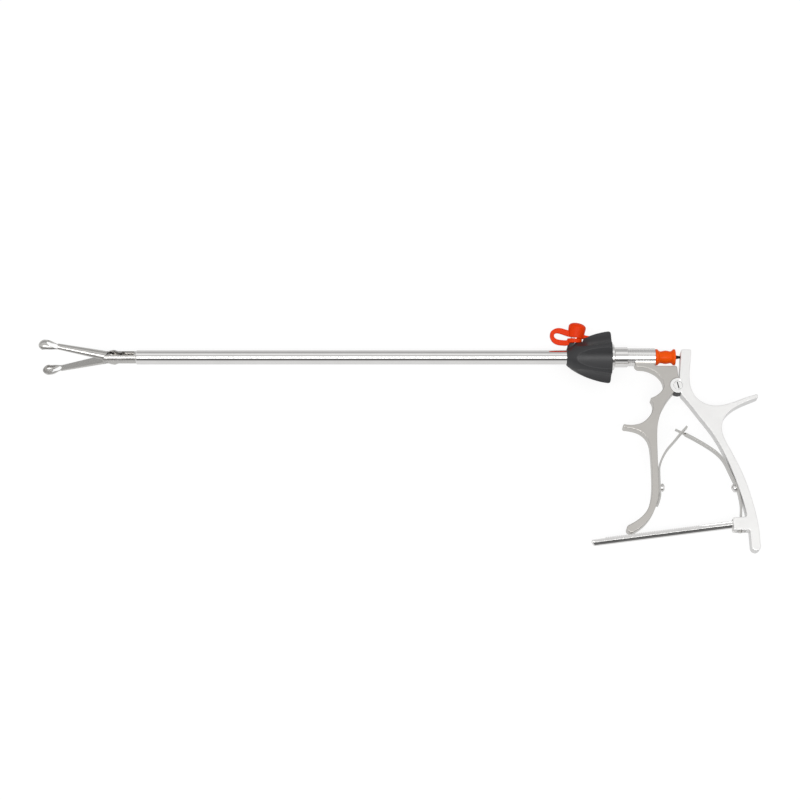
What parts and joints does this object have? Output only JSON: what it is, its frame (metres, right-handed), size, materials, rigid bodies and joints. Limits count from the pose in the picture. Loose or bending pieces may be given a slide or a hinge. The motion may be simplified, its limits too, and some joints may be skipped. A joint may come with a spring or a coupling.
{
  "type": "tissue grasping forceps",
  "caption": "Laparoscopic tissue grasping forceps with windowed cupped jaws, a turning knob with a capped flushing port, and a sprung pistol handle with a toothed ratchet bar.",
  "frame": {"origin": "on the shaft axis at the front face of the turning knob", "axes": "+X along the shaft towards the handle, handle hanging towards -Y, +Z square to the handle's plane"},
  "size_m": [0.4955, 0.1638, 0.036],
  "materials": {
    "satin_steel": "bead-blasted satin stainless steel",
    "polished_steel": "fine polished stainless steel",
    "tool_steel": "dull grey stainless steel",
    "knob_plastic": "satin black high-temperature plastic",
    "orange_silicone": "satin orange-red silicone",
    "seal_silicone": "satin orange silicone"
  },
  "bodies": {
    "handle": {"front_handle": "satin_steel", "coupling_sleeve": "polished_steel", "rod_seal": "seal_silicone", "pivot_screw": "tool_steel", "front_leaf_spring": "tool_steel", "front_leaf_screw": "polished_steel"},
    "lever": {"thumb_lever": "satin_steel", "rear_leaf_spring": "tool_steel", "rear_leaf_screw": "polished_steel", "ratchet_pin": "polished_steel", "ratchet_plunger": "tool_steel"},
    "ratchet": {"ratchet_bar": "tool_steel"},
    "shaft": {"outer_tube": "polished_steel", "rotation_knob": "knob_plastic", "knob_set_screw": "tool_steel", "knob_collar": "polished_steel", "rod_guide": "tool_steel", "flush_port": "polished_steel", "cap_tether": "orange_silicone", "fork": "tool_steel", "jaw_pivot_pin": "polished_steel"},
    "rod": {"pull_rod": "polished_steel", "ball_end": "polished_steel", "drive_pin": "tool_steel"},
    "jaw_upper": {"upper_jaw": "tool_steel"},
    "jaw_lower": {"lower_jaw": "tool_steel"},
    "cap": {"flush_cap": "orange_silicone"}
  },
  "joints": [
    {"name": "lever_squeeze", "type": "hinge", "parent": "handle", "child": "lever", "pos_m": [0.076, -0.0221, 0], "axis": [0, 0, -1], "range_deg": [0, 12], "stiffness_Nm_per_rad": 2.2, "springref_deg": -20.05, "deforming": ["front_leaf_spring", "rear_leaf_spring"]},
    {"name": "ratchet_swing", "type": "hinge", "parent": "lever", "child": "ratchet", "pos_m": [0.1142, -0.1204, 0], "axis": [0, 0, -1], "range_deg": [-9, 9]},
    {"name": "knob_spin", "type": "hinge", "parent": "handle", "child": "shaft", "pos_m": [0, 0, 0], "axis": [1, 0, 0], "continuous": true},
    {"name": "rod_pull", "type": "slide", "parent": "shaft", "child": "rod", "axis": [1, 0, 0], "range_m": [0, 0.00485]},
    {"name": "upper_jaw_swing", "type": "hinge", "parent": "shaft", "child": "jaw_upper", "pos_m": [-0.3169, 0, 0], "axis": [0, -0.9063, 0.4226], "range_deg": [0, 14.01]},
    {"name": "lower_jaw_swing", "type": "hinge", "parent": "shaft", "child": "jaw_lower", "pos_m": [-0.3169, 0, 0], "axis": [0, 0.9063, -0.4226], "range_deg": [0, 14.01]},
    {"name": "cap_pull", "type": "slide", "parent": "shaft", "child": "cap", "axis": [0.1908, 0.9224, 0.3357], "range_m": [0, 0.008], "deforming": ["cap_tether"]}
  ],
  "couplings": [
    {"joint": "ratchet_swing", "follows": "lever_squeeze", "ratio": -0.72},
    {"joint": "rod_pull", "follows": "lever_squeeze", "m_per_rad": 0.022918},
    {"joint": "upper_jaw_swing", "follows": "lever_squeeze", "ratio": 1.1667},
    {"joint": "lower_jaw_swing", "follows": "lever_squeeze", "ratio": 1.1667}
  ]
}
